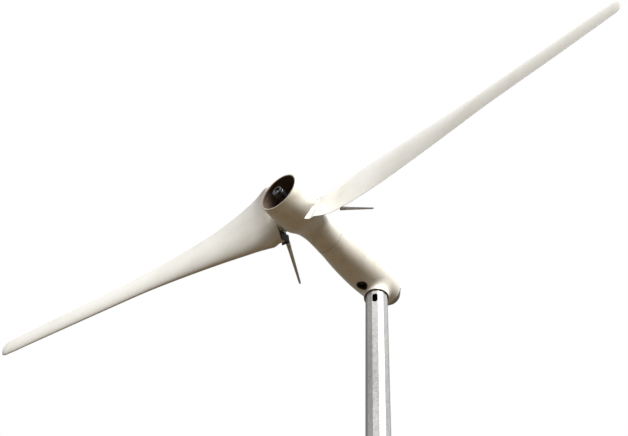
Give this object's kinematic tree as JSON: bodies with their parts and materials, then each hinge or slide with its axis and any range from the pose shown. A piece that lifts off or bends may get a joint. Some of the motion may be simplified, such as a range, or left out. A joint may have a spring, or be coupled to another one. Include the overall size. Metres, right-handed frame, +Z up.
{
  "type": "small wind turbine",
  "caption": "Downwind wind turbine head with twisted glass-fibre blades, open-mouthed hub, slim nacelle, flyweight pitch arms and a polygonal galvanised mast section.",
  "frame": {"origin": "centre of the underside of the mast section's base flange, on the mast and yaw axis", "axes": "+Z up along the mast; the rotor axis is parallel to Y, with the open hub mouth and the rotor facing -Y (downwind) and the nacelle tail facing +Y (upwind); +X completes the frame and blade 1 points that way at rest"},
  "size_m": [4.9412, 1.1373, 3.3772],
  "materials": {
    "gelcoat": "cream-white gelcoat over glass fibre, semi-gloss, weathered",
    "cap_grey": "mid-grey moulded plastic, matt",
    "galvanised": "hot-dip galvanised steel, dull spangle",
    "dark_steel": "near-black painted steel, satin",
    "bright_steel": "machined or zinc-plated steel",
    "cast_iron": "as-cast, primed dark grey",
    "aluminium": "machined and cast aluminium",
    "copper": "varnished copper winding",
    "bronze": "turned bronze and brass",
    "rubber": "black moulded rubber, matt",
    "plastic": "dark glass-filled nylon"
  },
  "bodies": {
    "root": {"base_flange": "galvanised", "mast_tube": "galvanised", "mast_top_plate": "galvanised", "yaw_spindle": "bright_steel", "cable_gland": "rubber", "slip_ring_drum": "plastic", "slip_ring_1": "bronze", "slip_ring_2": "bronze", "slip_ring_3": "bronze"},
    "nacelle": {"nacelle_body": "gelcoat", "nacelle_lid": "gelcoat", "rear_cap": "cap_grey", "port_bushing": "rubber", "front_shield": "aluminium", "shaft_seal": "rubber", "nacelle_frame": "cast_iron", "yaw_bearing_lower": "bright_steel", "yaw_bearing_upper": "bright_steel", "front_end_bell": "aluminium", "rear_end_bell": "aluminium", "generator_housing": "aluminium", "stator_core": "dark_steel", "winding_front": "copper", "winding_rear": "copper", "front_bearing": "bright_steel", "rear_bearing": "bright_steel", "brush_holder": "plastic", "junction_box": "plastic"},
    "rotor": {"hub_shell": "gelcoat", "hub_yoke": "cast_iron", "hub_bulkhead": "aluminium", "main_shaft": "bright_steel", "generator_rotor": "dark_steel", "shaft_nut": "bright_steel", "guide_rod": "bright_steel", "pitch_spring": "bright_steel", "spring_cap": "bright_steel", "pitch_bearing_1_inner": "bronze", "pitch_bearing_1_outer": "bronze", "pitch_bearing_2_inner": "bronze", "pitch_bearing_2_outer": "bronze"},
    "crosshead": {"pitch_crosshead": "aluminium"},
    "blade_1": {"blade_1": "gelcoat", "root_plate_1": "dark_steel", "flyweight_arm_1": "bright_steel", "pitch_spindle_1": "bright_steel", "pitch_crank_1": "dark_steel"},
    "blade_2": {"blade_2": "gelcoat", "root_plate_2": "dark_steel", "flyweight_arm_2": "bright_steel", "pitch_spindle_2": "bright_steel", "pitch_crank_2": "dark_steel"}
  },
  "joints": [
    {"name": "nacelle_yaw", "type": "hinge", "parent": "root", "child": "nacelle", "pos_m": [0, 0, 2.9], "axis": [0, 0, 1], "continuous": true},
    {"name": "rotor_spin", "type": "hinge", "parent": "nacelle", "child": "rotor", "pos_m": [0, -0.5, 3], "axis": [0, -1, 0], "continuous": true},
    {"name": "blade_1_pitch", "type": "hinge", "parent": "rotor", "child": "blade_1", "pos_m": [0, -0.685, 3], "axis": [0.9872, -0.0899, -0.1317], "range_deg": [0, 20], "stiffness_Nm_per_rad": 60, "springref_deg": -20.05},
    {"name": "blade_2_pitch", "type": "hinge", "parent": "rotor", "child": "blade_2", "pos_m": [0, -0.685, 3], "axis": [-0.9872, -0.0899, 0.1317], "range_deg": [0, 20], "stiffness_Nm_per_rad": 60, "springref_deg": -20.05},
    {"name": "crosshead_slide", "type": "slide", "parent": "rotor", "child": "crosshead", "axis": [0, -1, 0], "range_m": [0, 0.0083]}
  ],
  "couplings": [
    {"joint": "blade_2_pitch", "follows": "blade_1_pitch", "ratio": 1},
    {"joint": "crosshead_slide", "follows": "blade_1_pitch", "m_per_rad": 0.0235}
  ]
}
